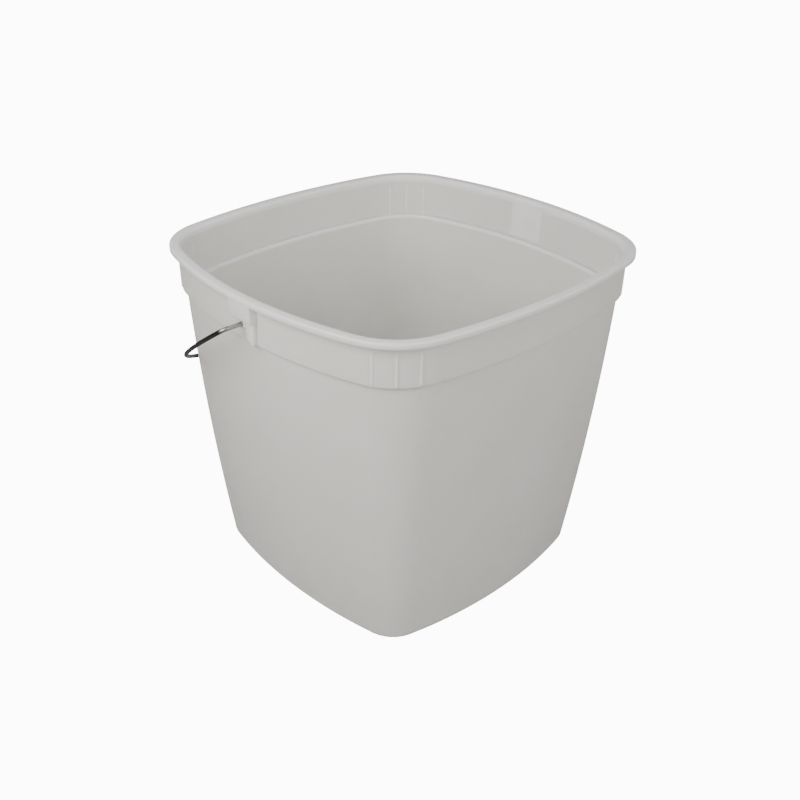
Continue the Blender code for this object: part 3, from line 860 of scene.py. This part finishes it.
def soft_step(nodes, links, value, start, end):
    """0 before start and 1 after end, with a smooth change between them."""
    made = nodes.new("ShaderNodeMapRange")
    made.interpolation_type = "SMOOTHSTEP"
    made.inputs["From Min"].default_value = min(start, end)
    made.inputs["From Max"].default_value = max(start, end)
    made.inputs["To Min"].default_value = 0.0 if start < end else 1.0
    made.inputs["To Max"].default_value = 1.0 if start < end else 0.0
    links.new(value, made.inputs["Value"])
    return made.outputs["Result"]


def attribute_value(nodes, name):
    """A value that the mesh holds on its vertices."""
    made = nodes.new("ShaderNodeAttribute")
    made.attribute_name = name
    return made.outputs["Fac"]


def multiply(nodes, links, first, *others):
    """The product of several node values."""
    for other in others:
        first = calculate(nodes, links, "MULTIPLY", first, other)
    return first


def highest(nodes, links, first, *others):
    """The largest of several node values."""
    for other in others:
        first = calculate(nodes, links, "MAXIMUM", first, other)
    return first


def ear_glow_mask(nodes, links, axes):
    """Painted glow patches of both ears, on the wall's inner face and on the outer one."""
    reach = calculate(nodes, links, "ABSOLUTE", axes.outputs["X"])
    side = calculate(nodes, links, "SIGN", axes.outputs["X"])
    across = multiply(nodes, links, axes.outputs["Y"], side)
    height = axes.outputs["Z"]
    foot_z = HEIGHT - BAND_DEPTH
    at_ear = soft_step(nodes, links, reach, EAR_REACH_START, EAR_REACH_FULL)
    above = soft_step(nodes, links, height, foot_z, foot_z + EAR_SOFTNESS)
    near = soft_step(nodes, links, across, -EAR_HALF_WIDTH - EAR_SOFTNESS, -EAR_HALF_WIDTH)
    far = soft_step(nodes, links, across, EAR_HALF_WIDTH + EAR_SOFTNESS, EAR_HALF_WIDTH)
    back = soft_step(nodes, links, reach, EAR_ROOT_X, EAR_BACK_FULL)
    front = soft_step(nodes, links, reach, EAR_FRONT_START, EAR_FRONT_FULL)
    return multiply(nodes, links, at_ear, above, near, far, highest(nodes, links, back, front))


def ledge_highlight_mask(nodes, links, height):
    """Painted highlight line on the ledge and the top of the wall under it, on the inner face only."""
    line_top = HEIGHT - LEDGE_LINE_TOP
    line_foot = HEIGHT - LEDGE_LINE_FOOT
    under = soft_step(nodes, links, height, line_top + LEDGE_LINE_FADE, line_top)
    over = soft_step(nodes, links, height, line_foot - LEDGE_LINE_FADE, line_foot)
    inner = attribute_value(nodes, INNER_ATTRIBUTE)
    return multiply(nodes, links, under, over, inner, LEDGE_PAINTED_HIGHLIGHT)


def painted_glow_mask(nodes, links, place):
    """Mask of painted glow and highlight on the lip, ears, ribs and ledge, where the moulding is thicker
    than one wall.
    """
    axes = nodes.new("ShaderNodeSeparateXYZ")
    links.new(place, axes.inputs["Vector"])
    height = axes.outputs["Z"]
    # painted glow on the lip and on the ribs
    lip_glow = soft_step(nodes, links, height, HEIGHT - LIP_GLOW_FADE_DEPTH, HEIGHT - LIP_GLOW_DEPTH)
    ribs = multiply(nodes, links, attribute_value(nodes, RIB_ATTRIBUTE), RIB_PAINTED_GLOW)
    return highest(nodes, links, lip_glow, ear_glow_mask(nodes, links, axes), ribs, ledge_highlight_mask(nodes, links, height))


def two_tone(nodes, links, share, first, colour):
    """A colour socket mixed with a fixed colour by a share."""
    mix = nodes.new("ShaderNodeMix")
    mix.data_type = "RGBA"
    mix.inputs["B"].default_value = (*colour, 1.0)
    links.new(share, mix.inputs["Factor"])
    links.new(first, mix.inputs["A"])
    return mix.outputs["Result"]


def natural_plastic():
    """Unpigmented polyethylene: translucent, slightly cloudy, satin, with fine mould texture and painted
    glow on its thick parts.
    """
    made, nodes, links, shader = new_material("natural_polyethylene")
    place = nodes.new("ShaderNodeTexCoord").outputs["Object"]
    cloud = noise(nodes, links, place, CLOUD_NOISE)
    flow = noise(nodes, links, place, FLOW_NOISE, FLOW_STRETCH)
    grain = noise(nodes, links, place, GRAIN_NOISE)
    scuff = noise(nodes, links, place, SCUFF_NOISE, SCUFF_STRETCH)
    single = ramp(nodes, links, cloud, SINGLE_WALL_TONES)
    # painted glow and highlight: the cloud tone is lightened on the lip, ears, ribs and ledge
    tone = two_tone(nodes, links, painted_glow_mask(nodes, links, place), single, PAINTED_GLOW_COLOUR)
    links.new(tone, shader.inputs["Base Color"])
    links.new(spread(nodes, links, scuff, NATURAL_ROUGHNESS), shader.inputs["Roughness"])
    shader.inputs["Subsurface Weight"].default_value = 1.0
    shader.inputs["Subsurface Radius"].default_value = NATURAL_SCATTER
    shader.inputs["Subsurface Scale"].default_value = 1.0
    shader.inputs["IOR"].default_value = NATURAL_IOR
    bump(nodes, links, ((flow, FLOW_BUMP), (grain, GRAIN_BUMP)), shader)
    return made


def steel_wire():
    """Drawn galvanised wire: dark grey with fine draw lines, and a painted reflection lightening the stubs
    that turn in the ears.
    """
    made, nodes, links, shader = new_material("bright_steel_wire")
    place = nodes.new("ShaderNodeTexCoord").outputs["Object"]
    axes = nodes.new("ShaderNodeSeparateXYZ")
    links.new(place, axes.inputs["Vector"])
    # painted reflection on the stubs, near the pivot axis
    stub_reflection = soft_step(nodes, links, axes.outputs["Y"], STUB_REFLECTION_END, STUB_REFLECTION_FULL)
    spots = noise(nodes, links, place, ZINC_NOISE)
    lines = noise(nodes, links, place, DRAW_NOISE, DRAW_STRETCH)
    zinc = ramp(nodes, links, spots, ZINC_TONES)
    links.new(two_tone(nodes, links, stub_reflection, zinc, STUB_REFLECTION_COLOUR), shader.inputs["Base Color"])
    links.new(spread(nodes, links, spots, STEEL_ROUGHNESS), shader.inputs["Roughness"])
    shader.inputs["Metallic"].default_value = 1.0
    bump(nodes, links, ((lines, DRAW_BUMP),), shader)
    return made


def white_plastic():
    """Opaque white polyethylene of the grip, with a faint mould texture and handling marks."""
    made, nodes, links, shader = new_material("white_polyethylene")
    place = nodes.new("ShaderNodeTexCoord").outputs["Object"]
    cloud = noise(nodes, links, place, GRIP_CLOUD_NOISE)
    marks = noise(nodes, links, place, HANDLING_NOISE, HANDLING_STRETCH)
    links.new(ramp(nodes, links, cloud, GRIP_TONES), shader.inputs["Base Color"])
    links.new(spread(nodes, links, marks, GRIP_ROUGHNESS), shader.inputs["Roughness"])
    shader.inputs["Subsurface Weight"].default_value = GRIP_SCATTER_SHARE
    shader.inputs["Subsurface Radius"].default_value = GRIP_SCATTER
    shader.inputs["Subsurface Scale"].default_value = 1.0
    bump(nodes, links, ((marks, HANDLING_BUMP),), shader)
    return made


def floor_finish():
    """Matte studio floor that the camera sees as plain white."""
    made, nodes, links, shader = new_material("studio_floor")
    place = nodes.new("ShaderNodeTexCoord").outputs["Object"]
    cloud = noise(nodes, links, place, FLOOR_NOISE)
    links.new(ramp(nodes, links, cloud, FLOOR_TONES), shader.inputs["Base Color"])
    shader.inputs["Roughness"].default_value = FLOOR_ROUGHNESS
    glow = nodes.new("ShaderNodeEmission")
    glow.inputs["Strength"].default_value = BACKGROUND_STRENGTH
    path = nodes.new("ShaderNodeLightPath")
    mix = nodes.new("ShaderNodeMixShader")
    links.new(path.outputs["Is Camera Ray"], mix.inputs["Fac"])
    links.new(shader.outputs["BSDF"], mix.inputs[1])
    links.new(glow.outputs["Emission"], mix.inputs[2])
    links.new(mix.outputs["Shader"], nodes["Material Output"].inputs["Surface"])
    return made


# ---------------------------------------------------------------- stage, lights and camera

def make_floor():
    """A wide level floor under the foot."""
    builder = bmesh.new()
    corners = [(-FLOOR_HALF, -FLOOR_HALF), (FLOOR_HALF, -FLOOR_HALF), (FLOOR_HALF, FLOOR_HALF),
               (-FLOOR_HALF, FLOOR_HALF)]
    builder.faces.new([builder.verts.new((x, y, BODY_LOW.z)) for x, y in corners])
    floor = mesh_object("studio_floor", builder, floor_finish())


def make_world():
    """An even white studio, brighter where the camera sees it directly."""
    world = bpy.data.worlds.new("studio")
    bpy.context.scene.world = world
    world.use_nodes = True
    nodes, links = world.node_tree.nodes, world.node_tree.links
    sky = nodes["Background"]
    sky.inputs["Color"].default_value = (*SKY_COLOUR, 1.0)
    sky.inputs["Strength"].default_value = SKY_STRENGTH
    white = nodes.new("ShaderNodeBackground")
    white.inputs["Color"].default_value = (*WHITE, 1.0)
    white.inputs["Strength"].default_value = BACKGROUND_STRENGTH
    path = nodes.new("ShaderNodeLightPath")
    mix = nodes.new("ShaderNodeMixShader")
    links.new(path.outputs["Is Camera Ray"], mix.inputs["Fac"])
    links.new(sky.outputs["Background"], mix.inputs[1])
    links.new(white.outputs["Background"], mix.inputs[2])
    links.new(mix.outputs["Shader"], nodes["World Output"].inputs["Surface"])


def direction(azimuth_deg, elevation_deg):
    """Unit vector from the object towards a viewer or a light; azimuth 0 stands on the -Y side."""
    azimuth, elevation = math.radians(azimuth_deg), math.radians(elevation_deg)
    return Vector((math.sin(azimuth) * math.cos(elevation), -math.cos(azimuth) * math.cos(elevation),
                   math.sin(elevation)))


def add_softbox(softbox):
    """A square light that faces the middle of the bucket and stays out of the picture."""
    light = bpy.data.lights.new(softbox.name, "AREA")
    light.shape = "SQUARE"
    light.color = softbox.colour
    light.size = softbox.size
    light.energy = softbox.watts
    made = bpy.data.objects.new(softbox.name, light)
    target = Vector((0.0, 0.0, HEIGHT / 2.0))
    away = direction(softbox.azimuth_deg, softbox.elevation_deg)
    made.location = target + away * softbox.distance
    made.rotation_euler = away.to_track_quat("Z", "Y").to_euler()
    made.visible_camera = False
    bpy.context.scene.collection.objects.link(made)


def make_camera():
    """The camera, aimed at a point on the bucket's axis and moved a little sideways."""
    back = direction(VIEW_AZIMUTH_DEG, VIEW_ELEVATION_DEG)
    azimuth = math.radians(VIEW_AZIMUTH_DEG)
    side = Vector((math.cos(azimuth), math.sin(azimuth), 0.0))
    target = Vector((0.0, 0.0, VIEW_TARGET_HEIGHT)) + side * VIEW_TARGET_SIDE
    data = bpy.data.cameras.new("camera")
    data.sensor_width = SENSOR_MM
    data.lens = LENS_MM
    camera = bpy.data.objects.new("camera", data)
    roll = Matrix.Rotation(math.radians(VIEW_ROLL_DEG), 4, "Z")
    facing = back.to_track_quat("Z", "Y").to_matrix().to_4x4()
    camera.matrix_world = Matrix.Translation(target + back * VIEW_DISTANCE) @ facing @ roll
    bpy.context.scene.collection.objects.link(camera)
    bpy.context.scene.camera = camera


def put_on_body(piece, body, node):
    """Puts a finished piece on its body in place of a CAD node."""
    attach(piece, body)
    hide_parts(node)


def main():
    """Builds the three pieces and the studio round them."""
    put_on_body(make_shell(natural_plastic()), "bucket", "bucket_body")
    put_on_body(make_bail(steel_wire()), "bail", "bail_wire")
    put_on_body(make_grip(white_plastic()), "grip", "bail_grip")
    make_floor()
    make_world()
    for softbox in SOFTBOXES:
        add_softbox(softbox)
    make_camera()


main()
